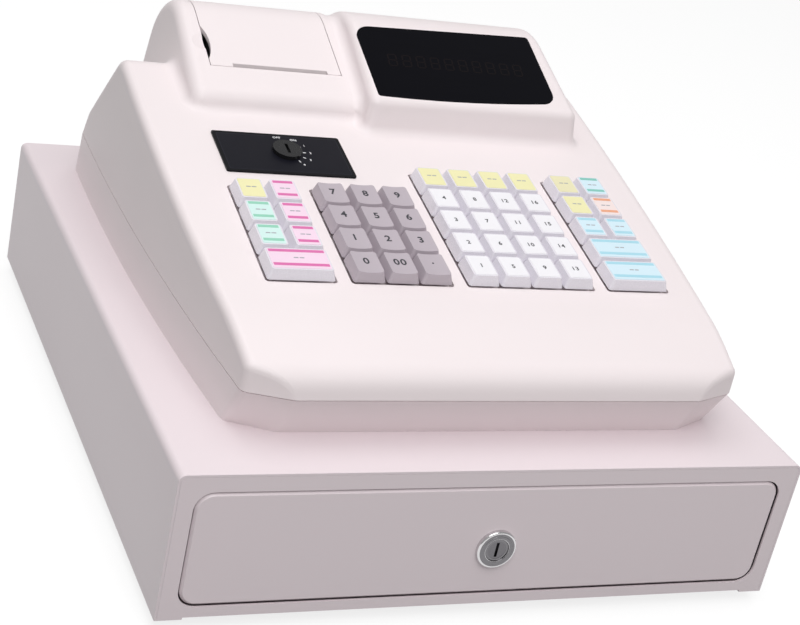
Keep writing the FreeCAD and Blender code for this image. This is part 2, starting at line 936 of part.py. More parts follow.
def make_cabinet():
    """Folded steel cover over a folded steel chassis, on four rubber feet."""
    half = half_cabinet
    outline = [(-half, floor_z, 0), (half, floor_z, 0), (half, top_z, cabinet_bend),
               (-half, top_z, cabinet_bend)]
    inner_half = half - cabinet_sheet
    inner_top = top_z - cabinet_sheet
    inner_bend = cabinet_bend - cabinet_sheet
    inner = [(-inner_half, floor_z + cabinet_sheet, 0), (inner_half, floor_z + cabinet_sheet, 0),
             (inner_half, inner_top, inner_bend), (-inner_half, inner_top, inner_bend)]
    cover = front_prism(outline, front_y, back_y)
    cover = without(cover, front_prism(inner, front_y - over, back_y + over))
    mouth = half - cabinet_lip
    cover = without(cover, block(-mouth, mouth, front_y - over, back_y + over, floor_z - over, inner_top / 2))
    cover = without(cover, *screw_holes(case_screw_places, inner_top - over, top_z + over))
    cover = without(cover, *screw_holes(cabinet_screw_places, floor_z - over, floor_z + cabinet_sheet + over))
    save("cabinet_cover", cover)

    low = floor_z + cabinet_sheet
    edge = inner_half - sheet_gap
    high = inner_top - sheet_gap
    floor = block(-edge, edge, front_y, back_y, low, low + cabinet_sheet)
    bend = inner_bend - sheet_gap
    wall = [(-edge, low, 0), (edge, low, 0), (edge, high, bend), (-edge, high, bend)]
    front = front_prism(wall, front_y, front_y + cabinet_sheet)
    back = front_prism(wall, back_y - cabinet_sheet, back_y)
    opening = rectangle(-opening_half, opening_half, floor_z + opening_low, floor_z + opening_high,
                        opening_corner)
    front = without(front, front_prism(opening, front_y - over, front_y + cabinet_sheet + over))
    inner_low = low + cabinet_sheet
    tab_y = front_y + lock_tab_y
    tab_top = floor_z + opening_low + cabinet_sheet
    tab = block(-lock_tab_width / 2, lock_tab_width / 2, tab_y, tab_y + cabinet_sheet, inner_low, tab_top)
    tab_back = tab_y + cabinet_sheet
    tab_foot = block(-lock_tab_width / 2, lock_tab_width / 2, tab_back - lock_tab_foot, tab_back, inner_low,
                     inner_low + cabinet_sheet)
    chassis = joined(floor, front, back, tab, tab_foot, latch_post())
    chassis = without(chassis, *screw_holes(cabinet_screw_places, low - over, inner_low + over))
    save("cabinet_chassis", chassis)

    feet = []
    for sx in (-1, 1):
        for y in (front_y + foot_inset, back_y - foot_inset):
            x = sx * (half - foot_inset)
            height = foot_height + cabinet_sheet
            cone = Part.makeCone(foot_radius - foot_taper, foot_radius, height, Vector(x, y, 0), ALONG_Z)
            seat = without(cone, rod(Vector(x, y, -over), ALONG_Z, foot_dimple_radius,
                                     over + foot_dimple_depth))
            feet.append(seat)
    save("rubber_feet", *feet)


rail_x1 = half_cabinet - cabinet_sheet
rail_x0 = tray_half_width + rail_inner_gap
lock_tab_y = panel_thickness + lock_body_length - cabinet_sheet


def make_rails():
    """Two steel channels on the cabinet's side walls that carry the drawer's runners."""
    rails = []
    low = floor_z + runner_low - rail_gap - rail_sheet
    high = floor_z + runner_low + runner_height + rail_gap + rail_sheet
    y0 = front_y + tray_front
    for sx in (-1, 1):
        x0, x1 = sorted((sx * rail_x0, sx * rail_x1))
        channel = block(x0, x1, y0, y0 + rail_length, low, high)
        web = sx * (rail_x1 - rail_sheet)
        c0, c1 = sorted((web, sx * (rail_x0 - over)))
        hollow = block(c0, c1, y0 - over, y0 + rail_length + over, low + rail_sheet, high - rail_sheet)
        rails.append(without(channel, hollow))
    save("drawer_rails", *rails)


def make_tray():
    """Steel drawer tray with a runner along each side and a striker pin at its back."""
    low = floor_z + tray_low
    high = floor_z + tray_high
    y0 = front_y + tray_front
    y1 = y0 + tray_length
    half = tray_half_width
    shell = block(-half, half, y0, y1, low, high)
    hollow = block(-half + tray_sheet, half - tray_sheet, y0 + tray_sheet, y1 - tray_sheet, low + tray_sheet,
                   high + over)
    tray = without(shell, hollow)
    pieces = [tray]
    for sx in (-1, 1):
        x0, x1 = sorted((sx * half, sx * (half - tray_sheet)))
        pieces.append(block(x0, x1, front_y + panel_thickness, y0 + tray_sheet, low, high))
        r0, r1 = sorted((sx * (half - tray_sheet / 2), sx * (half + runner_width)))
        runner_z = floor_z + runner_low
        pieces.append(block(r0, r1, y0, y1, runner_z, runner_z + runner_height))
    tab_z = floor_z + latch_low + latch_thickness + 2 * striker_gap
    reach = y1 + striker_from_tray + striker_radius + striker_gap
    pieces.append(block(-striker_tab_width / 2, striker_tab_width / 2, y1 - tray_sheet, reach, tab_z,
                        tab_z + 2 * tray_sheet))
    pin_low = floor_z + latch_low - striker_gap
    pieces.append(rod(Vector(0, y1 + striker_from_tray, pin_low), ALONG_Z, striker_radius,
                      tab_z - pin_low + tray_sheet))
    save("drawer_tray", joined(*pieces))


latch_pivot_y = back_y - latch_pivot_back
nose_front_y = latch_pivot_y - latch_reach
striker_from_tray = nose_front_y + latch_arm_width / 2 + striker_gap + striker_radius
striker_from_tray -= front_y + tray_front + tray_length


def make_panel():
    """Painted drawer front with a bevelled rim and returned edges."""
    half = opening_half - panel_gap
    low = floor_z + opening_low + panel_gap
    high = floor_z + opening_high - panel_gap
    corner = opening_corner - panel_gap
    outline = rectangle(-half, half, low, high, corner)
    plate = front_prism(outline, front_y, front_y + panel_return)

    def rim(middle, edge):
        return abs(middle.y - front_y) < fine_match

    plate = plate.makeChamfer(panel_bevel, edges_near(plate, rim))
    wall = 2 * tray_sheet
    inside = rectangle(-half + wall, half - wall, low + wall, high - wall, corner - wall)
    plate = without(plate, front_prism(inside, front_y + panel_thickness, front_y + panel_return + over))
    centre = Vector(0, front_y - over, floor_z + lock_height)
    plate = without(plate, rod(centre, ALONG_Y, lock_body_radius, panel_thickness + 2 * over))
    save("drawer_front_panel", plate)


def make_lock():
    """Round cam lock: a chromed barrel with a rim, and a plug that turns a cam behind the panel."""
    centre = Vector(0, front_y, floor_z + lock_height)
    rim = rod(centre - ALONG_Y * lock_proud, ALONG_Y, lock_rim_radius, lock_proud)

    def front_rim(middle, edge):
        return abs(middle.y - (front_y - lock_proud)) < fine_match

    rim = rim.makeFillet(lock_rim_edge, edges_near(rim, front_rim))
    body = rod(centre, ALONG_Y, lock_body_radius, lock_body_length + panel_thickness)
    bore = rod(centre - ALONG_Y * (lock_proud + over), ALONG_Y, lock_plug_radius + running_gap,
               lock_body_length + 4 * over)
    save("lock_barrel", without(joined(rim, body), bore))

    start = centre - ALONG_Y * (lock_proud - lock_plug_recess)
    cam_start = front_y + panel_thickness + lock_body_length + cam_gap
    length = cam_start + cam_thickness - start.y
    plug = rod(start, ALONG_Y, lock_plug_radius, length)
    cam = block(0, cam_length, cam_start, cam_start + cam_thickness, centre.z - cam_width / 2,
                centre.z + cam_width / 2)
    slot = block(-lock_slot_width / 2, lock_slot_width / 2, start.y - over, start.y + lock_slot_depth,
                 centre.z - lock_slot_length / 2, centre.z + lock_slot_length / 2)
    save("lock_plug", without(joined(plug, cam), slot))


def make_till():
    """Moulded insert with coin cups at the front and bill bays behind."""
    y0 = front_y + tray_front + tray_sheet + till_gap
    y1 = y0 - till_gap + tray_length - 2 * tray_sheet - till_gap
    half = tray_half_width - tray_sheet - till_gap
    low = floor_z + tray_low + tray_sheet
    high = low + till_height
    till = block(-half, half, y0, y1, low, high)
    inner = 2 * half - 2 * till_wall
    cups = []
    cup_width = (inner - (coin_cups - 1) * till_wall) / coin_cups
    floor = low + till_floor
    cup_back = y0 + till_wall + coin_cup_length
    for index in range(coin_cups):
        x = -half + till_wall + index * (cup_width + till_wall)
        profile = [(y0 + till_wall, floor, coin_cup_round), (cup_back, floor, coin_cup_round),
                   (cup_back, high + over, 0), (y0 + till_wall, high + over, 0)]
        cups.append(side_prism(profile, x, x + cup_width))
    for x, width in bay_places():
        profile = [(cup_back + till_wall, floor, bill_bay_round), (y1 - till_wall, floor, bill_bay_round),
                   (y1 - till_wall, high + over, 0), (cup_back + till_wall, high + over, 0)]
        cups.append(side_prism(profile, x, x + width))
    axis = clip_axis()
    for x, width in bay_places():
        for side_x in (x, x + width):
            start = side_x - clip_stub_length - clip_side_gap
            length = 2 * (clip_stub_length + clip_side_gap)
            cups.append(rod(Vector(start, axis.y, axis.z), ALONG_X, clip_stub_radius + running_gap, length))
    save("till_insert", without(till, *cups))


def bay_places():
    """Left edge and width of each bill bay."""
    half = tray_half_width - tray_sheet - till_gap
    wall = 2 * (clip_stub_length + clip_side_gap + till_wall / 2)
    inner = 2 * half - 2 * wall
    width = (inner - (bill_bays - 1) * wall) / bill_bays
    return [(-half + wall + index * (width + wall), width) for index in range(bill_bays)]


def clip_axis():
    """Line about which the bill clips turn."""
    y1 = front_y + tray_front + tray_length - tray_sheet - till_gap
    low = floor_z + tray_low + tray_sheet
    return Vector(0, y1 - till_wall - clip_pivot_back, low + clip_pivot_height)


def make_clips():
    """Bill clips: each a barrel with a stub at both ends and an arm that leans down to the floor."""
    axis = clip_axis()
    for index, (x, width) in enumerate(bay_places()):
        x0 = x + clip_side_gap
        x1 = x + width - clip_side_gap
        middle = (x0 + x1) / 2
        barrel = rod(Vector(x0, axis.y, axis.z), ALONG_X, clip_barrel_radius, x1 - x0)
        stub = rod(Vector(x0 - clip_stub_length, axis.y, axis.z), ALONG_X, clip_stub_radius,
                   x1 - x0 + 2 * clip_stub_length)
        tip_y = axis.y - clip_arm_length
        tip_z = axis.z - clip_arm_drop
        thickness = clip_arm_thickness
        arm_profile = [
            (axis.y, axis.z - thickness / 2, 0),
            (axis.y, axis.z + thickness / 2, 0),
            (tip_y, tip_z + thickness / 2, clip_tip_radius + thickness),
            (tip_y - 2 * clip_tip_radius, tip_z + clip_tip_radius + thickness / 2, 0),
            (tip_y - 2 * clip_tip_radius, tip_z + clip_tip_radius - thickness / 2, 0),
            (tip_y, tip_z - thickness / 2, clip_tip_radius),
        ]
        arm = side_prism(arm_profile, middle - clip_arm_width / 2, middle + clip_arm_width / 2)
        save("bill_clip_%d" % (index + 1), joined(barrel, stub, arm))


def latch_post():
    """Post on the chassis that carries the latch lever."""
    low = floor_z + 2 * cabinet_sheet
    y = latch_pivot_y
    height = latch_low + latch_thickness + latch_pivot_proud - 2 * cabinet_sheet
    post = rod(Vector(latch_pivot_x, y, low), ALONG_Z, latch_pivot_radius, height)
    collar = rod(Vector(latch_pivot_x, y, low), ALONG_Z, 2 * latch_pivot_radius,
                 latch_low - 2 * cabinet_sheet - striker_gap)
    return joined(post, collar)


def make_latch():
    """Latch lever with its nose clear of the striker, and the solenoid whose plunger turns it."""
    x = latch_pivot_x
    y = latch_pivot_y
    low = floor_z + latch_low
    high = low + latch_thickness
    half = latch_arm_width / 2
    turn = latch_open_degrees
    arm = block(x - half, x + half, nose_front_y - half, y + latch_tail + half, low, high)
    nose = block(x - half, x + half + latch_nose, nose_front_y - half, nose_front_y + half, low, high)
    pin = rod(Vector(x, y + latch_tail, low), ALONG_Z, tail_pin_radius, 2 * latch_thickness)
    lever = joined(arm, nose, pin)
    bore = rod(Vector(x, y, low - over), ALONG_Z, latch_pivot_radius + running_gap,
               latch_thickness + 2 * over)
    lever = without(lever, bore)
    lever.rotate(Vector(x, y, 0), ALONG_Z, -turn)
    save("latch_lever", lever)

    pin_x = x + latch_tail * math.sin(math.radians(turn))
    pin_y = y + latch_tail * math.cos(math.radians(turn))
    tongue_low = high + striker_gap
    tongue_end = pin_x + tongue_reach
    core_z = tongue_low + tongue_thickness / 2
    tongue = block(pin_x - 3 * tail_pin_radius, tongue_end, pin_y - plunger_radius,
                   y + latch_tail + plunger_radius, tongue_low, tongue_low + tongue_thickness)
    core = rod(Vector(tongue_end - tail_pin_radius, pin_y, core_z), ALONG_X, plunger_radius, plunger_length)
    slot_half = tail_pin_radius + tongue_slot_gap
    slot = block(pin_x - slot_half, pin_x + slot_half, pin_y - slot_half, y + latch_tail + slot_half,
                 tongue_low - over, tongue_low + tongue_thickness + over)
    save("solenoid_plunger", without(joined(tongue, core), slot))

    start = tongue_end + tail_pin_radius
    size = solenoid_size / 2
    floor = floor_z + 2 * cabinet_sheet
    top = core_z + size
    case = block(start, start + solenoid_length, pin_y - size, pin_y + size, floor, top)
    bore = rod(Vector(start - over, pin_y, core_z), ALONG_X, plunger_radius + running_gap,
               solenoid_length - solenoid_wall + over)
    save("latch_solenoid", without(case, bore))


def make_base_case():
    """Lower shell of the register, with its floor on the cabinet's top."""
    outer = loft(case_wire(top_z, 0, 0), case_wire(seam_z, 0, 1))

    def upright(middle, edge):
        return top_z + match_gap < middle.z < seam_z - match_gap

    outer = outer.makeFillet(case_corner, edges_near(outer, upright))
    wall_share = case_wall / seam_rise
    inner = loft(case_wire(top_z + case_wall, case_wall, wall_share),
                 case_wire(seam_z + case_wall, case_wall, 1 + wall_share))
    shell = without(outer, inner)
    bosses = [rod(Vector(x, y, top_z + case_wall / 2), ALONG_Z, screw_boss_radius, screw_boss_height)
              for x, y in case_screw_places]
    shell = joined(shell, *bosses, *board_bosses())
    shell = without(shell, *screw_holes(case_screw_places, top_z - over,
                                        top_z - cabinet_sheet + screw_length + screw_bottom_gap))
    shell = without(shell, inlet_block(sheet_gap, over), seam_ring())
    save("base_case", shell)


def seam_ring():
    """Shallow rebate round the base's rim that shows as the seam line."""
    low = seam_z - seam_groove
    kept = loft(case_wire(low - over, seam_groove_depth, 1),
                case_wire(seam_z + 2 * over, seam_groove_depth, 1))
    upright = edges_near(kept, lambda middle, edge: low < middle.z < seam_z + over)
    kept = kept.makeFillet(case_corner, upright)
    wide = block(-case_width, case_width, front_y - over, case_back + over, low, seam_z + over)
    return wide.cut(kept)


def board_places():
    """Centres of the main board's four corner bosses."""
    inset = 2 * board_boss_radius
    places = []
    for x in (main_board_left + inset, main_board_left + main_board_width - inset):
        for y in (main_board_front + inset, main_board_front + main_board_length - inset):
            places.append((x, front_y + y))
    return places


def board_bosses():
    low = top_z + case_wall / 2
    return [rod(Vector(x, y, low), ALONG_Z, board_boss_radius, main_board_rise - case_wall / 2)
            for x, y in board_places()]


def inlet_block(grow, reach):
    """Power inlet that fills a hole in the base's back wall."""
    x1 = supply_right - supply_width / 3
    x0 = x1 - inlet_width
    z0 = top_z + case_wall + supply_height / 12
    y1 = case_back + reach
    return block(x0 - grow, x1 + grow, case_back - inlet_depth - case_wall, y1, z0 - grow,
                 z0 + inlet_height + grow)


def make_main_board():
    x0 = main_board_left
    x1 = x0 + main_board_width
    y0 = front_y + main_board_front
    y1 = y0 + main_board_length
    z = top_z + main_board_rise
    board = block(x0, x1, y0, y1, z, z + board_thickness)
    chips = []
    top = z + board_thickness
    for x_share, y_share, size_share in chip_shares:
        x = x0 + x_share * main_board_width
        y = y0 + y_share * main_board_length
        half = size_share * chip_size / 2
        chips.append(block(x - half, x + half, y - half, y + half, top - board_thickness / 2,
                           top + chip_height))
    save("main_board", joined(board, *chips))


def make_power_supply():
    """Transformer on the base's floor, with the power inlet behind it."""
    x1 = supply_right
    x0 = x1 - supply_width
    z0 = top_z + case_wall
    y1 = case_back - inlet_depth
    y0 = y1 - supply_length
    middle = (y0 + y1) / 2
    core = block(x0, x1, middle - core_width / 2, middle + core_width / 2, z0, z0 + supply_height)
    coil = block(x0 + coil_inset, x1 - coil_inset, y0, y1 - inlet_depth, z0 + coil_inset,
                 z0 + supply_height - coil_inset)
    coil = coil.makeFillet(coil_round, coil.Edges)
    tray = block(x0, x1, y0, y1 - inlet_depth, z0, z0 + board_thickness)
    socket = inlet_block(0, -case_back_lean)
    bracket = block(socket.BoundBox.XMin, socket.BoundBox.XMax, y1 - 2 * inlet_depth,
                    socket.BoundBox.YMin + case_wall,
                    z0, z0 + inlet_height)
    hollow = block(socket.BoundBox.XMin + case_wall, socket.BoundBox.XMax - case_wall,
                   socket.BoundBox.YMax - inlet_depth / 2, case_back + over,
                   socket.BoundBox.ZMin + case_wall, socket.BoundBox.ZMax - case_wall)
    save("power_supply", without(joined(core, coil, tray, bracket, socket), hollow))


def board_post_places():
    """Centres of the posts that hold the keyboard's board under the deck, between the blocks."""
    x_left = block_left("number") - block_gap / 2
    x_right = block_left("right") - block_gap / 2
    y0 = field_start + row_pitch / 2
    y1 = field_start + 4 * row_pitch - row_pitch / 2
    return [(x, y) for x in (x_left, x_right) for y in (y0, y1)]


def make_keyboard_board():
    x0 = field_shift - field_width / 2
    y0 = field_start
    board = block(x0, x0 + field_width, y0, y0 + 5 * row_pitch, -board_drop - board_thickness, -board_drop)
    save("keyboard_board", placed(board, deck_frame))


def make_top_case():
    """Upper shell: deck with key pockets, display housing and printer housing."""
    form = case_form()
    form = form.makeFillet(display_foot_round, foot_edges(form, False))
    form = form.makeFillet(hump_foot_round, foot_edges(form, True))
    form = without(form, case_hollow())
    pans = []
    for name in block_columns:
        pan = key_pocket(name, pocket_floor, -pocket_depth - pocket_floor, -case_wall / 2)
        pans.append(pan)
    for x, y in board_post_places():
        post = rod(Vector(x, y, -board_drop), ALONG_Z, board_post_radius, board_drop - case_wall / 2)
        pans.append(placed(post, deck_frame))
    pans.append(rotor_rod(rotor_radius + rotor_boss_wall, -rotor_length + running_gap, -case_wall / 2))
    pans.append(digit_block(window_backing, -window_thickness - case_wall, -case_wall / 2))
    form = joined(form, *pans, *cover_ears())
    cutters = [key_pocket(name, 0, -pocket_depth, over) for name in block_columns]
    for name in block_columns:
        cutters += [stem_hole(place) for place in key_places(name)]
    cutters.append(window_outline(window_gap, -window_thickness, over))
    cutters.append(digit_block(0, -window_thickness - 2 * case_wall, over))
    cutters.append(plate_shape(plate_gap, 0, over))
    cutters.append(rotor_rod(rotor_radius + running_gap, -2 * rotor_length, over))
    cutters.append(cover_window(cover_gap, top_z + deck_height + nose_radius))
    cutters.append(cover_swing())
    cutters.append(cover_pin_hole())
    cutters.append(dish_cutter())
    for cutter in cutters:
        form = form.cut(cutter)
    save("top_case", largest(form))


def dish_cutter():
    """Shallow finger dish beside the notch."""
    half = notch_length / 2
    y = front_y + slot_front + notch_from_slot + half
    z = cover_z(y - front_y)
    lift = dish_radius - dish_depth
    slope = math.radians(cover_slope)
    centre = Vector(cover_left - cover_gap, y - lift * math.sin(slope), z + lift * math.cos(slope))
    return Part.makeSphere(dish_radius, centre)


def make_display():
    window = window_outline(0, -window_thickness, 0)
    save("display_window", window)
    behind = -window_thickness - case_wall
    glass = digit_block(module_border, behind - module_thickness, behind)
    pins = digit_block(-module_border, behind - 1.5 * module_thickness, behind - module_thickness / 2)
    save("display_module", joined(glass, pins))


def make_mode_switch():
    plate = plate_shape(0, 0, plate_thickness)
    plate = without(plate, rotor_rod(rotor_radius + running_gap, -over, plate_thickness + over))
    save("mode_plate", plate)
    save("mode_rotor", mode_rotor())


def make_keys():
    names = {"left": "left_key", "right": "right_key"}
    for block_name, base in names.items():
        for index, place in enumerate(key_places(block_name)):
            save("%s_%d" % (base, index + 1), key_shape(place, False))
    digits = ["0", "00", "dot", "1", "2", "3", "4", "5", "6", "7", "8", "9"]
    for digit, place in zip(digits, key_places("number")):
        save("number_key_" + digit, key_shape(place, True))
    places = key_places("department")
    for column in range(4):
        keys = [key_shape(place, False) for place in places[column::4]]
        save("department_keys_%d" % (column + 1), *keys)


roll_y = front_y + roll_from_front
roll_z = top_z + roll_height
platen_y = front_y + platen_from_front
platen_z = top_z + platen_height
well_left = paper_slot_left + paper_slot_width / 2 - roll_width / 2 - cheek_gap
well_right = well_left + roll_width + 2 * cheek_gap


def make_printer():
    """Printer frame with a paper bucket, spindle and print head; its legs stand on the base's floor."""
    low = top_z + case_wall
    bucket_radius = roll_radius + bucket_gap
    outer = rod(Vector(well_left, roll_y, roll_z), ALONG_X, bucket_radius + bucket_wall,
                well_right - well_left)
    inner = rod(Vector(well_left - over, roll_y, roll_z), ALONG_X, bucket_radius,
                well_right - well_left + 2 * over)
    above = block(well_left - over, well_right + over, roll_y - 2 * bucket_radius, roll_y + 2 * bucket_radius,
                  roll_z + roll_radius / 4, roll_z + 2 * bucket_radius)
    bucket = without(outer, inner, above)
    cheeks = []
    back = roll_y + bucket_radius + bucket_wall
    front = platen_y - platen_radius - cheek_thickness
    cheek_top = platen_z + platen_radius / 2
    for x0 in (well_left - cheek_thickness, well_right):
        profile = [(front, platen_z - 2 * platen_radius, 0), (back, roll_z - roll_radius, 0),
                   (back, roll_z + roll_radius / 4, 0), (front, cheek_top, 0)]
        cheeks.append(side_prism(profile, x0, x0 + cheek_thickness))
        for leg_y in (front, back - leg_width):
            leg_top = platen_z - platen_radius if leg_y == front else roll_z - roll_radius / 2
            cheeks.append(block(x0, x0 + cheek_thickness, leg_y, leg_y + leg_width, low, leg_top))
    spindle = rod(Vector(well_left - cheek_thickness, roll_y, roll_z), ALONG_X,
                  roll_core_radius - spindle_gap,
                  well_right - well_left + 2 * cheek_thickness)
    head_y1 = platen_y - platen_radius - head_gap
    head = block(well_left, well_right, front, head_y1 + cheek_thickness,
                 platen_z - 2 * platen_radius - head_gap,
                 platen_z - platen_radius - head_gap)
    head_face = block(well_left, well_right, front, head_y1, platen_z - 2 * platen_radius, cheek_top)
    frame = joined(bucket, *cheeks, spindle, head, head_face)
    bore = rod(Vector(well_left - cheek_thickness - over, platen_y, platen_z), ALONG_X,
               platen_shaft_radius + running_gap, well_right - well_left + 2 * cheek_thickness + 2 * over)
    save("printer_frame", without(frame, bore))

    roller = rod(Vector(well_left + running_gap * 2, platen_y, platen_z), ALONG_X, platen_radius,
                 well_right - well_left - 4 * running_gap)
    shaft = rod(Vector(well_left - 2 * cheek_thickness, platen_y, platen_z), ALONG_X, platen_shaft_radius,
                well_right - well_left + 4 * cheek_thickness)
    save("platen_roller", joined(roller, shaft))

    paper = rod(Vector(well_left + cheek_gap, roll_y, roll_z), ALONG_X, roll_radius, roll_width)
    core = rod(Vector(well_left, roll_y, roll_z), ALONG_X, roll_core_radius, roll_width + 2 * cheek_gap)
    save("paper_roll", without(paper, core))


make_cabinet()
make_rails()
make_tray()
make_panel()
make_lock()
make_till()
make_clips()
make_latch()
make_screws()
make_base_case()
make_top_case()
make_display()
make_mode_switch()
make_keys()
make_keyboard_board()
make_main_board()
make_power_supply()
make_printer()
save("printer_cover", printer_cover())
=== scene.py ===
import math

import bmesh
import bpy
from mathutils import Matrix, Vector


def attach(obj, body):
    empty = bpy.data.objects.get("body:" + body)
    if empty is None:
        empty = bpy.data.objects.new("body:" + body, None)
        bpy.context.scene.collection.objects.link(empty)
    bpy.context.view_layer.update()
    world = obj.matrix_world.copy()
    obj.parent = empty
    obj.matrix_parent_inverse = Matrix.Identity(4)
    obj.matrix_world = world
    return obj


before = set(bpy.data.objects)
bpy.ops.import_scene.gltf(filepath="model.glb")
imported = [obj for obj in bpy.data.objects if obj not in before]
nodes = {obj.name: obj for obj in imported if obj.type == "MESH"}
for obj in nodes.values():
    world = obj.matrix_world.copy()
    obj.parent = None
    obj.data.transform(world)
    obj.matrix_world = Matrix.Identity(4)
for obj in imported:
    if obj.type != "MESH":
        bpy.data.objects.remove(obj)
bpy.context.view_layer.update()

# Looks of the cash register. Lengths are metres, in the model's own frame.
mm = 0.001

# Places and sizes that the keyboard deck and its keys share with the model
front_y = -201.25 * mm
deck_mark = 60.0 * mm
deck_slope = math.radians(11.5)
deck_origin = Vector((0.0, front_y + deck_mark, 140.6 * mm))
key_pitch = 19.2 * mm
row_pitch = 20.8 * mm
block_gap = 8.8 * mm
field_shift = 4.1 * mm
field_start = 32.4 * mm
key_gap = 0.9 * mm
key_height = 6.2 * mm
key_front_slope = 1.6 * mm
key_back_slope = 0.5 * mm
key_side_slope = 1.9 * mm
key_dish_depth = 0.55 * mm
block_columns = {"left": 2, "number": 3, "department": 4, "right": 2}
field_width = sum(block_columns.values()) * key_pitch + (len(block_columns) - 1) * block_gap

# Labels on the keys: a ground, coloured bars and small dashes
label_inset = 0.9 * mm
label_round = 0.8 * mm
label_thick = 0.25 * mm
label_edge = 0.06 * mm
print_sink = 0.05 * mm
print_edge = 0.02 * mm
bar_thick = 0.08 * mm
bar_width = 2.2 * mm
bar_round = 0.2 * mm
bar_side_room = 0.7 * mm
bar_back_room = 0.35 * mm
bar_front_room = 1.9 * mm
mark_thick = bar_thick / 2
mark_width = 0.8 * mm
mark_length = 2.6 * mm
mark_gap = 0.6 * mm
mark_round = 0.15 * mm
small_round_steps = 2

# Characters
capital_share = 0.7
bold_share = 0.03
character_space = 1.15
digit_height = 4.8 * mm
digit_depth = 0.2 * mm
digit_set_back = 1.2 * mm
half_top = (key_pitch - key_gap) / 2 - key_side_slope
hollow_radius = half_top ** 2 / (2 * key_dish_depth)
small_digit_height = 3.0 * mm
small_digit_depth = 0.12 * mm

# Display window and its faint digits
window_slope = math.radians(21.5)
window_origin = Vector((0.0, 35.35 * mm, 196.2 * mm))
window_middle_x = 51.8 * mm
window_middle_y = 37.5 * mm
ghost_count = 10
ghost_step = 9.4 * mm
ghost_width = 5.2 * mm
ghost_height = 10.0 * mm
ghost_bar = 1.0 * mm
ghost_gap = 0.25 * mm
ghost_lean = 0.1
ghost_proud = 0.03 * mm
ghost_edge = 0.005 * mm

# Mode plate and its switch
plate_left = -111.7 * mm
plate_width = 76.5 * mm
plate_length = 39.6 * mm
plate_front = 186.6 * mm
plate_start = (plate_front - deck_mark) / math.cos(deck_slope)
plate_thick = 1.0 * mm
rotor_x = plate_left + 40.5 * mm
rotor_y = plate_start + 22.0 * mm
panel_round = 0.8 * mm
panel_edge = 0.01 * mm
hairline_inset = 2.2 * mm
hairline_proud = 0.02 * mm
panel_inset = 2.55 * mm
panel_proud = 0.04 * mm
switch_positions = ((100, "OFF"), (60, "ON"), (30, "1"), (0, "2"), (-30, "3"), (-60, "4"))
tick_ring = 10.6 * mm
tick_half_length = 0.9 * mm
tick_half_width = 0.35 * mm
tick_proud = 0.07 * mm
word_ring = 14.2 * mm
word_height = 1.7 * mm
word_depth = 0.1 * mm

# Lock face: turned rings, as profiles of radius and height in millimetres
lock_centre = Vector((0.0, front_y, 43.5 * mm))
barrel_proud = 2.5 * mm
plug_proud = 1.9 * mm
barrel_profile = [(9.75, -0.05), (9.75, 0.03), (9.2, 0.14), (8.5, 0.12), (8.35, 0.24), (7.3, 0.26),
                  (6.9, 0.16), (6.9, -0.05)]
plug_profile = [(6.35, -0.05), (6.35, 0.05), (6.15, 0.16), (5.45, 0.16), (5.2, 0.08), (5.2, -0.05)]
ring_steps = 96

# Studio: floor, soft lights, and the camera's place and turn
floor_half = 6.0
floor_shade = 0.25
floor_glow = 0.80
world_strength = 0.42
light_target = Vector((0.0, 0.0, 0.12))
sensor_width_mm = 36.0
lens_mm = 80.36
view_end = 50.0
camera_place = Vector((-419.2, -874.95, 515.4)) * mm
camera_right = Vector((0.9131, -0.3530, 0.2039)).normalized()
camera_down = Vector((0.0216, -0.4574, -0.8890))

deck_matrix = Matrix.Translation(deck_origin) @ Matrix.Rotation(deck_slope, 4, "X")
window_matrix = Matrix.Translation(window_origin) @ Matrix.Rotation(window_slope, 4, "X")


# Materials


def new_material(name):
    material = bpy.data.materials.new(name)
    material.use_nodes = True
    return material, material.node_tree, material.node_tree.nodes["Principled BSDF"]


def add_node(tree, kind, **inputs):
    node = tree.nodes.new(kind)
    for key, value in inputs.items():
        node.inputs[key.replace("_", " ")].default_value = value
    return node


def object_noise(tree, scale, detail, roughness=0.5, stretch=(1.0, 1.0, 1.0)):
    """Noise in the object's own space; its scale counts features per metre."""
    coordinates = tree.nodes.new("ShaderNodeTexCoord")
    mapping = add_node(tree, "ShaderNodeMapping", Scale=stretch)
    noise = add_node(tree, "ShaderNodeTexNoise", Scale=scale, Detail=detail, Roughness=roughness)
    tree.links.new(coordinates.outputs["Object"], mapping.inputs["Vector"])
    tree.links.new(mapping.outputs["Vector"], noise.inputs["Vector"])
    return noise.outputs["Fac"]


def vary_colour(tree, shader, factor, colour, drift):
    """Let the base colour drift a little between two shades."""
    mix = tree.nodes.new("ShaderNodeMix")
    mix.data_type = "RGBA"
    low = [channel * (1 - drift) for channel in colour]
    high = [min(channel * (1 + drift), 1.0) for channel in colour]
    mix.inputs["A"].default_value = (*low, 1.0)
    mix.inputs["B"].default_value = (*high, 1.0)
    tree.links.new(factor, mix.inputs["Factor"])
    tree.links.new(mix.outputs["Result"], shader.inputs["Base Color"])


def vary_roughness(tree, shader, factor, low, high):
    spread = add_node(tree, "ShaderNodeMapRange", To_Min=low, To_Max=high)
    tree.links.new(factor, spread.inputs["Value"])
    tree.links.new(spread.outputs["Result"], shader.inputs["Roughness"])


def add_bump(tree, shader, heights, strength, distance):
    """Relief from one or more height outputs, one bump after another."""
    last = None
    for height in heights:
        bump = add_node(tree, "ShaderNodeBump", Strength=strength, Distance=distance)
        tree.links.new(height, bump.inputs["Height"])
        if last:
            tree.links.new(last.outputs["Normal"], bump.inputs["Normal"])
        last = bump
    tree.links.new(last.outputs["Normal"], shader.inputs["Normal"])


def set_coat(shader, weight, rough):
    shader.inputs["Coat Weight"].default_value = weight
    shader.inputs["Coat Roughness"].default_value = rough


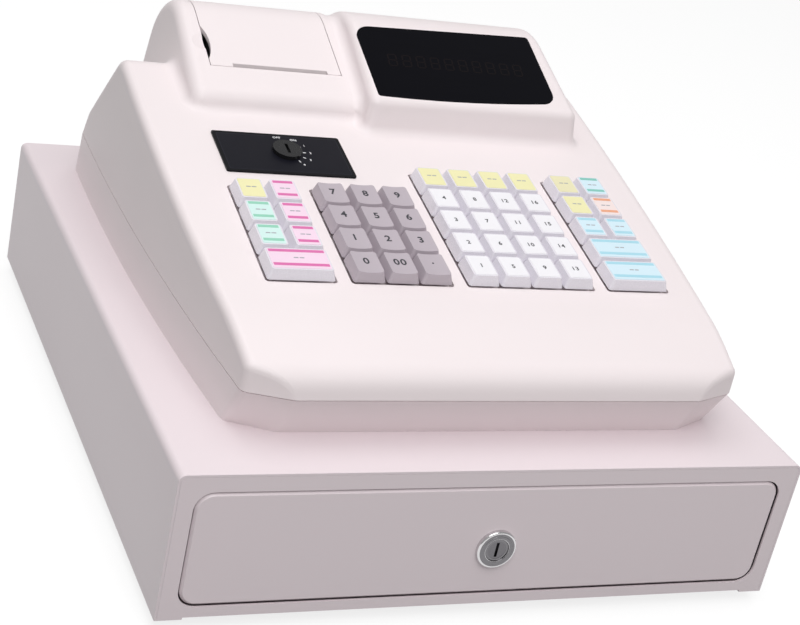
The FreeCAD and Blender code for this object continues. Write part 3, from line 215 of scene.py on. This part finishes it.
def moulded(name, colour, rough, grain_scale, grain_height, drift=0.015, coat=0.0, level=0.5):
    """Moulded plastic with a fine spark-eroded grain and faint cloudiness."""
    material, tree, shader = new_material(name)
    cloud = object_noise(tree, scale=14.0, detail=3.0)
    grain = object_noise(tree, scale=grain_scale, detail=4.0, roughness=0.6)
    vary_colour(tree, shader, cloud, colour, drift)
    vary_roughness(tree, shader, grain, low=rough - 0.05, high=rough + 0.07)
    add_bump(tree, shader, [grain], strength=0.35, distance=grain_height)
    shader.inputs["Specular IOR Level"].default_value = level
    set_coat(shader, weight=coat, rough=0.12)
    return material


def painted(name, colour, rough):
    """Sprayed enamel on sheet steel: soft orange peel and slight roughness drift."""
    material, tree, shader = new_material(name)
    peel = object_noise(tree, scale=420.0, detail=2.0)
    cloud = object_noise(tree, scale=9.0, detail=2.0)
    fine = object_noise(tree, scale=2600.0, detail=2.0)
    vary_colour(tree, shader, cloud, colour, drift=0.012)
    vary_roughness(tree, shader, cloud, low=rough - 0.03, high=rough + 0.05)
    add_bump(tree, shader, [peel, fine], strength=0.12, distance=0.00012)
    set_coat(shader, weight=0.15, rough=0.25)
    return material


def metal(name, colour, rough, stretch, bump=0.15):
    """Metal with fine lines drawn along one way."""
    material, tree, shader = new_material(name)
    lines = object_noise(tree, scale=900.0, detail=4.0, roughness=0.6, stretch=stretch)
    cloud = object_noise(tree, scale=30.0, detail=3.0)
    shader.inputs["Metallic"].default_value = 1.0
    vary_colour(tree, shader, cloud, colour, drift=0.05)
    vary_roughness(tree, shader, lines, low=rough * 0.7, high=rough * 1.3)
    add_bump(tree, shader, [lines], strength=bump, distance=0.00005)
    return material


def printed(name, colour, rough, coat=0.0):
    """Printed card or ink with a faint paper tooth."""
    material, tree, shader = new_material(name)
    tooth = object_noise(tree, scale=1800.0, detail=3.0, roughness=0.6)
    cloud = object_noise(tree, scale=60.0, detail=2.0)
    vary_colour(tree, shader, cloud, colour, drift=0.02)
    vary_roughness(tree, shader, tooth, low=rough - 0.04, high=rough + 0.06)
    add_bump(tree, shader, [tooth], strength=0.08, distance=0.00005)
    set_coat(shader, weight=coat, rough=0.06)
    return material


def glossy_black(name, colour, rough):
    """Polished dark plastic with very faint wipe marks."""
    material, tree, shader = new_material(name)
    wipes = object_noise(tree, scale=40.0, detail=5.0, roughness=0.7, stretch=(1.0, 6.0, 1.0))
    vary_colour(tree, shader, wipes, colour, drift=0.15)
    vary_roughness(tree, shader, wipes, low=rough * 0.6, high=rough * 1.8)
    shader.inputs["Specular IOR Level"].default_value = 0.05
    return material


cap_grain = {"grain_scale": 2200.0, "grain_height": 0.00003}
number_cap_grain = {"grain_scale": 2200.0, "grain_height": 0.00004}
dark_grain = {"grain_scale": 1800.0, "grain_height": 0.00004, "drift": 0.1}
board_grain = {"grain_scale": 1500.0, "grain_height": 0.00005, "drift": 0.1}
along_x = (1.0, 12.0, 1.0)
along_x_fine = (1.0, 14.0, 1.0)
along_y = (8.0, 1.0, 1.0)
even = (1.0, 1.0, 1.0)

finishes = {
    "case": moulded("case_plastic", (0.86, 0.78, 0.79), rough=0.42, grain_scale=1500.0, grain_height=0.0001),
    "cabinet": painted("cabinet_paint", (0.83, 0.735, 0.765), rough=0.40),
    "cap": moulded("key_cap", (0.80, 0.77, 0.83), rough=0.26, drift=0.01, coat=0.3, **cap_grain),
    "number_cap": moulded("number_key_cap", (0.49, 0.43, 0.475), rough=0.34, coat=0.1, **number_cap_grain),
    "window": glossy_black("window", (0.003, 0.003, 0.005), rough=0.08),
    "ghost": glossy_black("window_digits", (0.008, 0.006, 0.007), rough=0.09),
    "plate": moulded("mode_plate", (0.004, 0.004, 0.006), rough=0.30, level=0.12, **dark_grain),
    "panel": moulded("mode_panel", (0.007, 0.007, 0.012), rough=0.38, level=0.12, **dark_grain),
    "panel_edge": moulded("mode_panel_edge", (0.025, 0.025, 0.036), rough=0.40, level=0.12, **dark_grain),
    "switch": moulded("switch_black", (0.010, 0.010, 0.011), rough=0.25, **dark_grain),
    "chrome": metal("chrome", (0.66, 0.65, 0.66), rough=0.16, stretch=even, bump=0.04),
    "plug": metal("lock_plug_steel", (0.17, 0.165, 0.175), rough=0.30, stretch=along_y),
    "turned": metal("turned_steel", (0.20, 0.195, 0.205), rough=0.24, stretch=along_x_fine),
    "steel": metal("zinc_steel", (0.62, 0.62, 0.63), rough=0.32, stretch=along_x),
    "core": metal("transformer_core", (0.16, 0.15, 0.15), rough=0.5, stretch=along_x_fine),
    "tray": painted("tray_paint", (0.16, 0.16, 0.165), rough=0.45),
    "till": moulded("till_plastic", (0.022, 0.022, 0.024), rough=0.5, grain_scale=1200.0,
                    grain_height=0.00018, drift=0.08),
    "rubber": moulded("rubber", (0.02, 0.02, 0.02), rough=0.75, grain_scale=1500.0, grain_height=0.0001,
                      drift=0.1),
    "frame": moulded("printer_frame_plastic", (0.05, 0.05, 0.052), rough=0.45, grain_scale=1300.0,
                     grain_height=0.00012, drift=0.08),
    "board": moulded("board", (0.03, 0.13, 0.05), rough=0.35, **board_grain),
    "module": moulded("module", (0.02, 0.02, 0.022), rough=0.4, **board_grain),
    "paper": printed("till_roll", (0.86, 0.85, 0.83), rough=0.7),
    "ink": printed("ink_dark", (0.03, 0.03, 0.04), rough=0.4, coat=0.3),
    "ink_grey": printed("ink_grey", (0.36, 0.36, 0.40), rough=0.4, coat=0.3),
    "ink_light": printed("ink_light", (0.80, 0.80, 0.82), rough=0.4),
}

label_grounds = {
    "white": (0.90, 0.885, 0.92), "yellow": (0.88, 0.84, 0.47), "tan": (0.84, 0.79, 0.50),
    "pink_ground": (0.92, 0.70, 0.84), "green_ground": (0.66, 0.88, 0.84), "blue_ground": (0.68, 0.86, 0.95),
    "orange_ground": (0.92, 0.78, 0.76),
}
label_inks = {
    "magenta": (0.74, 0.16, 0.42), "green": (0.30, 0.66, 0.50), "teal": (0.22, 0.58, 0.50),
    "orange": (0.86, 0.38, 0.22), "blue": (0.40, 0.72, 0.84),
}
for colours, coat in ((label_grounds, 0.4), (label_inks, 0.5)):
    for colour_name, colour in colours.items():
        finishes[colour_name] = printed("label_" + colour_name, colour, rough=0.35, coat=coat)

node_finish = {
    "cabinet_cover": "cabinet", "cabinet_chassis": "cabinet", "drawer_front_panel": "cabinet",
    "rubber_feet": "rubber", "pan_head_screws": "steel", "drawer_rails": "steel", "drawer_tray": "tray",
    "till_insert": "till", "bill_clip_1": "till", "bill_clip_2": "till", "bill_clip_3": "till",
    "lock_barrel": "chrome", "lock_plug": "plug", "latch_lever": "steel", "latch_solenoid": "steel",
    "solenoid_plunger": "steel", "base_case": "case", "top_case": "case", "printer_cover": "case",
    "printer_frame": "frame", "platen_roller": "rubber", "paper_roll": "paper", "display_window": "window",
    "display_module": "module", "mode_plate": "plate", "mode_rotor": "switch", "keyboard_board": "board",
    "main_board": "board", "power_supply": "core",
}


def finish_nodes():
    """Give every node its finish; the nodes that the table leaves out are keys."""
    for name, thing in nodes.items():
        key_finish = "number_cap" if name.startswith("number_key") else "cap"
        material = finishes[node_finish.get(name, key_finish)]
        if not thing.data.materials:
            thing.data.materials.append(material)
        for index in range(len(thing.data.materials)):
            thing.data.materials[index] = material


# Pieces from outlines and characters


def linked(name, data):
    thing = bpy.data.objects.new(name, data)
    bpy.context.scene.collection.objects.link(thing)
    return thing


def mesh_object(name, mesh, matrix=Matrix()):
    """Turn a bmesh into an object in the scene, moved by a matrix."""
    data = bpy.data.meshes.new(name)
    mesh.to_mesh(data)
    mesh.free()
    data.transform(matrix)
    return linked(name, data)


def dress(thing, finish, body):
    """Give a new piece its finish in a material slot, and the body that it rides on."""
    thing.data.materials.clear()
    thing.data.materials.append(finishes[finish])
    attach(thing, body)


def rounded_outline(x0, x1, y0, y1, radius, steps=5):
    """Points of a rectangle with round corners, anticlockwise from the lower right."""
    corners = [(x1 - radius, y0 + radius), (x1 - radius, y1 - radius), (x0 + radius, y1 - radius),
               (x0 + radius, y0 + radius)]
    points = []
    for turn, (centre_x, centre_y) in enumerate(corners):
        for step in range(steps + 1):
            angle = (turn - 1 + step / steps) * math.pi / 2
            points.append((centre_x + radius * math.cos(angle), centre_y + radius * math.sin(angle)))
    return points


def add_plate(mesh, outline, z0, z1, edge):
    """A thin plate with a softened upper edge, added to a bmesh."""
    count = len(outline)
    middle = Vector((sum(x for x, y in outline) / count, sum(y for x, y in outline) / count))
    rings = []
    for z, inset in ((z0, 0.0), (z1 - edge, 0.0), (z1, edge)):
        ring = []
        for x, y in outline:
            move = (Vector((x, y)) - middle).normalized() * inset
            ring.append(mesh.verts.new((x - move.x, y - move.y, z)))
        rings.append(ring)
    mesh.faces.new(list(reversed(rings[0])))
    mesh.faces.new(rings[-1])
    for low, high in zip(rings, rings[1:]):
        for index in range(count):
            other = (index + 1) % count
            mesh.faces.new((low[index], low[other], high[other], high[index]))


def plates_object(name, outlines, z0, z1, edge, matrix=deck_matrix):
    mesh = bmesh.new()
    for outline in outlines:
        add_plate(mesh, outline, z0, z1, edge)
    return mesh_object(name, mesh, matrix)


def text_mesh(text, height, depth):
    """Characters as a thin solid."""
    curve = bpy.data.curves.new("characters", "FONT")
    curve.body = text
    curve.size = height / capital_share
    curve.extrude = depth / 2
    curve.align_x = "CENTER"
    curve.align_y = "CENTER"
    curve.offset = height * bold_share
    curve.space_character = character_space
    holder = linked("characters", curve)
    bpy.context.view_layer.update()
    data = bpy.data.meshes.new_from_object(holder)
    bpy.data.objects.remove(holder)
    return data


def text_object(name, pieces, height, depth, top_radius=None):
    """Characters on the deck; each piece is (text, x, y, z). They can follow a key's hollow top."""
    joined = bmesh.new()
    for text, x, y, z in pieces:
        data = text_mesh(text, height, depth)
        xs = [vertex.co.x for vertex in data.vertices]
        ys = [vertex.co.y for vertex in data.vertices]
        centre = Vector(((min(xs) + max(xs)) / 2, (min(ys) + max(ys)) / 2, 0))
        data.transform(Matrix.Translation(Vector((x, y, z)) - centre))
        if top_radius:
            for vertex in data.vertices:
                vertex.co.z += (vertex.co.x - x) ** 2 / (2 * top_radius)
        joined.from_mesh(data)
    return mesh_object(name, joined, deck_matrix)


# Labels and digits on the keys


def block_left(block):
    """Left edge of a block of keys on the deck."""
    names = list(block_columns)
    before = names[:names.index(block)]
    return field_shift - field_width / 2 + sum(block_columns[name] * key_pitch + block_gap for name in before)


def key_top(block, column, row, units=1):
    """Edges of one key's flat top in the deck's frame."""
    x0 = block_left(block) + column * key_pitch + key_gap / 2 + key_side_slope
    x1 = x0 + units * key_pitch - key_gap - 2 * key_side_slope
    y0 = field_start + row * row_pitch + key_gap / 2 + key_front_slope
    y1 = y0 + row_pitch - key_gap - key_front_slope - key_back_slope
    return x0, x1, y0, y1


def label_outline(top):
    x0, x1, y0, y1 = top
    return rounded_outline(x0 + label_inset, x1 - label_inset, y0 + label_inset, y1 - label_inset,
                           label_round)


def label_bars(top):
    """Two coloured bars across a label: one along its back edge, one nearer to its front."""
    x0, x1, y0, y1 = top
    side = label_inset + bar_side_room
    back = y1 - label_inset - bar_back_room - bar_width
    front = y0 + label_inset + bar_front_room
    return [rounded_outline(x0 + side, x1 - side, y, y + bar_width, bar_round, small_round_steps)
            for y in (back, front)]


def label_marks(top):
    """Small plain dashes between the bars, in the place of print."""
    x0, x1, y0, y1 = top
    middle_x = (x0 + x1) / 2
    low = (y0 + y1 + bar_front_room - bar_back_room - mark_width) / 2
    return [rounded_outline(x, x + mark_length, low, low + mark_width, mark_round, small_round_steps)
            for x in (middle_x - mark_gap / 2 - mark_length, middle_x + mark_gap / 2)]


label_low = key_height - print_sink
label_high = key_height + label_thick
print_low = label_high - print_sink


def label_plates(name, tops):
    return plates_object(name, [label_outline(top) for top in tops], label_low, label_high, label_edge)


def make_marks(body, top):
    marks = plates_object(body + "_marks", label_marks(top), print_low, label_high + mark_thick, print_edge)
    dress(marks, "ink_grey", body)


bar_grounds = {"magenta": "pink_ground", "green": "green_ground", "teal": "blue_ground",
               "blue": "blue_ground", "orange": "orange_ground"}


def make_label(body, top, colour):
    """A label of one colour, or a pale ground with bars of the colour."""
    base = label_plates(body + "_label", [top])
    if colour in bar_grounds:
        dress(base, bar_grounds[colour], body)
        bars = plates_object(body + "_bars", label_bars(top), print_low, label_high + bar_thick, print_edge)
        dress(bars, colour, body)
    else:
        dress(base, colour, body)
    make_marks(body, top)


# Each key's column, row, width in pitches and colour, in the order of the key nodes' numbers
side_labels = {
    "left": [(0, 0, 2, "magenta"), (0, 1, 1, "green"), (1, 1, 1, "magenta"), (0, 2, 1, "green"),
             (1, 2, 1, "magenta"), (0, 3, 1, "yellow"), (1, 3, 1, "magenta")],
    "right": [(0, 0, 2, "blue"), (0, 1, 2, "blue"), (0, 2, 1, "blue"), (1, 2, 1, "blue"),
              (0, 3, 1, "yellow"), (1, 3, 1, "orange"), (0, 4, 1, "tan"), (1, 4, 1, "teal")],
}


def make_side_labels():
    for block, keys in side_labels.items():
        for index, (column, row, units, colour) in enumerate(keys):
            make_label("%s_key_%d" % (block, index + 1), key_top(block, column, row, units), colour)


white_rows = 4


def make_department_labels():
    """White labels with small numbers, and a yellow label at each column's back."""
    for column in range(block_columns["department"]):
        body = "department_keys_%d" % (column + 1)
        tops = [key_top("department", column, row) for row in range(white_rows)]
        last_top = key_top("department", column, white_rows)
        dress(label_plates(body + "_labels", tops), "white", body)
        dress(label_plates(body + "_top_label", [last_top]), "yellow", body)
        make_marks(body, last_top)
        numbers = []
        for row, (x0, x1, y0, y1) in enumerate(tops):
            number = column * white_rows + row + 1
            numbers.append((str(number), (x0 + x1) / 2, (y0 + y1) / 2, label_high))
        text = text_object(body + "_numbers", numbers, small_digit_height, small_digit_depth)
        dress(text, "ink", body)


number_rows = [["0", "00", "dot"], ["1", "2", "3"], ["4", "5", "6"], ["7", "8", "9"]]


def make_digits():
    for row, names in enumerate(number_rows):
        for column, name in enumerate(names):
            x0, x1, y0, y1 = key_top("number", column, row)
            body = "number_key_" + name
            text = "." if name == "dot" else name
            place = ((x0 + x1) / 2, (y0 + y1) / 2 + digit_set_back, key_height - key_dish_depth)
            digit = text_object(body + "_digit", [(text, *place)], digit_height, digit_depth, hollow_radius)
            dress(digit, "ink", body)


# Display window's faint digits


def segment(middle_x, middle_y, length, upright):
    """One bar of a digit, a flat outline with pointed ends."""
    half = length / 2
    end = ghost_bar / 2
    outline = [(-half, 0), (-half + end, -end), (half - end, -end), (half, 0), (half - end, end),
               (-half + end, end)]
    if upright:
        outline = [(-y, x) for x, y in outline]
    return [(middle_x + x, middle_y + y) for x, y in outline]


def digit_segments(middle_x):
    """Seven bars of one digit, leaning a little."""
    outlines = []
    for level in (-1, 0, 1):
        y = window_middle_y + level * ghost_height / 2
        outlines.append(segment(middle_x, y, ghost_width - ghost_gap, upright=False))
    for side in (-1, 1):
        for level in (-1, 1):
            x = middle_x + side * ghost_width / 2
            y = window_middle_y + level * ghost_height / 4
            outlines.append(segment(x, y, ghost_height / 2 - ghost_gap, upright=True))
    return [[(x + ghost_lean * (y - window_middle_y), y) for x, y in outline] for outline in outlines]


def make_window_digits():
    outlines = []
    for index in range(ghost_count):
        outlines += digit_segments(window_middle_x + (index - (ghost_count - 1) / 2) * ghost_step)
    digits = plates_object("window_digits", outlines, -print_sink, ghost_proud, ghost_edge, window_matrix)
    dress(digits, "ghost", "register")


# Mode plate's panel and the switch's marks


def make_plate_panel():
    """The plate's slightly lighter inner panel, with a hairline round it."""
    for name, finish, inset, proud in (("mode_plate_hairline", "panel_edge", hairline_inset, hairline_proud),
                                       ("mode_plate_panel", "panel", panel_inset, panel_proud)):
        outline = rounded_outline(plate_left + inset, plate_left + plate_width - inset, plate_start + inset,
                                  plate_start + plate_length - inset, panel_round)
        plate = plates_object(name, [outline], plate_thick - print_sink, plate_thick + proud, panel_edge)
        dress(plate, finish, "register")


def round_rotor(degrees, along, across=0.0):
    """A point on the deck, by its reach from the rotor's axis and its step to the side."""
    angle = math.radians(degrees)
    return (rotor_x + along * math.cos(angle) - across * math.sin(angle),
            rotor_y + along * math.sin(angle) + across * math.cos(angle))


def make_switch_marks():
    inner = tick_ring - tick_half_length
    outer = tick_ring + tick_half_length
    corners = ((inner, -tick_half_width), (outer, -tick_half_width), (outer, tick_half_width),
               (inner, tick_half_width))
    ticks = [[round_rotor(degrees, *corner) for corner in corners] for degrees, text in switch_positions]
    low = plate_thick - print_sink
    marks = plates_object("switch_ticks", ticks, low, plate_thick + tick_proud, panel_edge)
    dress(marks, "ink_light", "register")
    places = [(text, *round_rotor(degrees, word_ring), plate_thick + panel_proud)
              for degrees, text in switch_positions]
    words = text_object("switch_positions", places, word_height, word_depth)
    dress(words, "ink_light", "register")


# Lock face


def turned_ring(name, profile, proud):
    """A stepped ring round the lock's axis."""
    face = lock_centre - Vector((0.0, proud, 0.0))
    mesh = bmesh.new()
    rings = []
    for radius, height in profile:
        ring = []
        for step in range(ring_steps):
            angle = 2 * math.pi * step / ring_steps
            place = Vector((radius * math.cos(angle), -height, radius * math.sin(angle))) * mm
            ring.append(mesh.verts.new(face + place))
        rings.append(ring)
    for index, low in enumerate(rings):
        high = rings[(index + 1) % len(rings)]
        for step in range(ring_steps):
            other = (step + 1) % ring_steps
            mesh.faces.new((low[step], low[other], high[other], high[step]))
    bmesh.ops.recalc_face_normals(mesh, faces=mesh.faces)
    return mesh_object(name, mesh)


def make_lock_face():
    dress(turned_ring("lock_barrel_ring", barrel_profile, barrel_proud), "turned", "drawer")
    dress(turned_ring("lock_plug_ring", plug_profile, plug_proud), "turned", "lock_plug")


# Floor, lights and camera


def floor_material():
    """Pale matt floor that glows white only where the camera, a mirror or glass sees it."""
    material, tree, shader = new_material("floor_white")
    shader.inputs["Base Color"].default_value = (floor_shade, floor_shade, floor_shade, 1.0)
    shader.inputs["Roughness"].default_value = 0.9
    shader.inputs["Specular IOR Level"].default_value = 0.0
    shader.inputs["Emission Color"].default_value = (1.0, 1.0, 1.0, 1.0)
    path = tree.nodes.new("ShaderNodeLightPath")
    seen = path.outputs["Is Camera Ray"]
    for kind in ("Is Glossy Ray", "Is Transmission Ray"):
        either = tree.nodes.new("ShaderNodeMath")
        either.operation = "MAXIMUM"
        tree.links.new(seen, either.inputs[0])
        tree.links.new(path.outputs[kind], either.inputs[1])
        seen = either.outputs["Value"]
    glow = add_node(tree, "ShaderNodeMapRange", To_Max=floor_glow)
    tree.links.new(seen, glow.inputs["Value"])
    tree.links.new(glow.outputs["Result"], shader.inputs["Emission Strength"])
    return material


def make_floor():
    mesh = bmesh.new()
    corners = ((-1, -1), (1, -1), (1, 1), (-1, 1))
    mesh.faces.new([mesh.verts.new((x * floor_half, y * floor_half, 0.0)) for x, y in corners])
    floor = mesh_object("floor", mesh)
    floor.data.materials.append(floor_material())


def add_light(name, place, width, height, power):
    """A rectangular softbox that faces the object."""
    light = bpy.data.lights.new(name, "AREA")
    light.shape = "RECTANGLE"
    light.size = width
    light.size_y = height
    light.energy = power
    holder = linked(name, light)
    holder.location = place
    holder.rotation_euler = (light_target - Vector(place)).to_track_quat("-Z", "Y").to_euler()


def make_lights():
    add_light("top_softbox", (-0.2, 0.1, 1.8), width=1.6, height=1.4, power=12.5)
    add_light("front_softbox", (-0.3, -1.3, 1.7), width=1.4, height=1.0, power=17.5)
    world = bpy.data.worlds.new("studio")
    world.use_nodes = True
    background = world.node_tree.nodes["Background"]
    background.inputs["Color"].default_value = (1.0, 1.0, 1.0, 1.0)
    background.inputs["Strength"].default_value = world_strength
    bpy.context.scene.world = world


def make_camera():
    """Camera at the photograph's place: a long lens from the front left, rolled a little."""
    data = bpy.data.cameras.new("camera")
    data.sensor_fit = "HORIZONTAL"
    data.sensor_width = sensor_width_mm
    data.lens = lens_mm
    data.clip_end = view_end
    down = (camera_down - camera_right * camera_down.dot(camera_right)).normalized()
    forward = camera_right.cross(down)
    turn = Matrix((camera_right, -down, -forward)).transposed().to_4x4()
    camera = linked("camera", data)
    camera.matrix_world = Matrix.Translation(camera_place) @ turn
    bpy.context.scene.camera = camera


finish_nodes()
make_side_labels()
make_department_labels()
make_digits()
make_window_digits()
make_plate_panel()
make_switch_marks()
make_lock_face()
make_floor()
make_lights()
make_camera()
bpy.context.scene.view_settings.view_transform = "Standard"
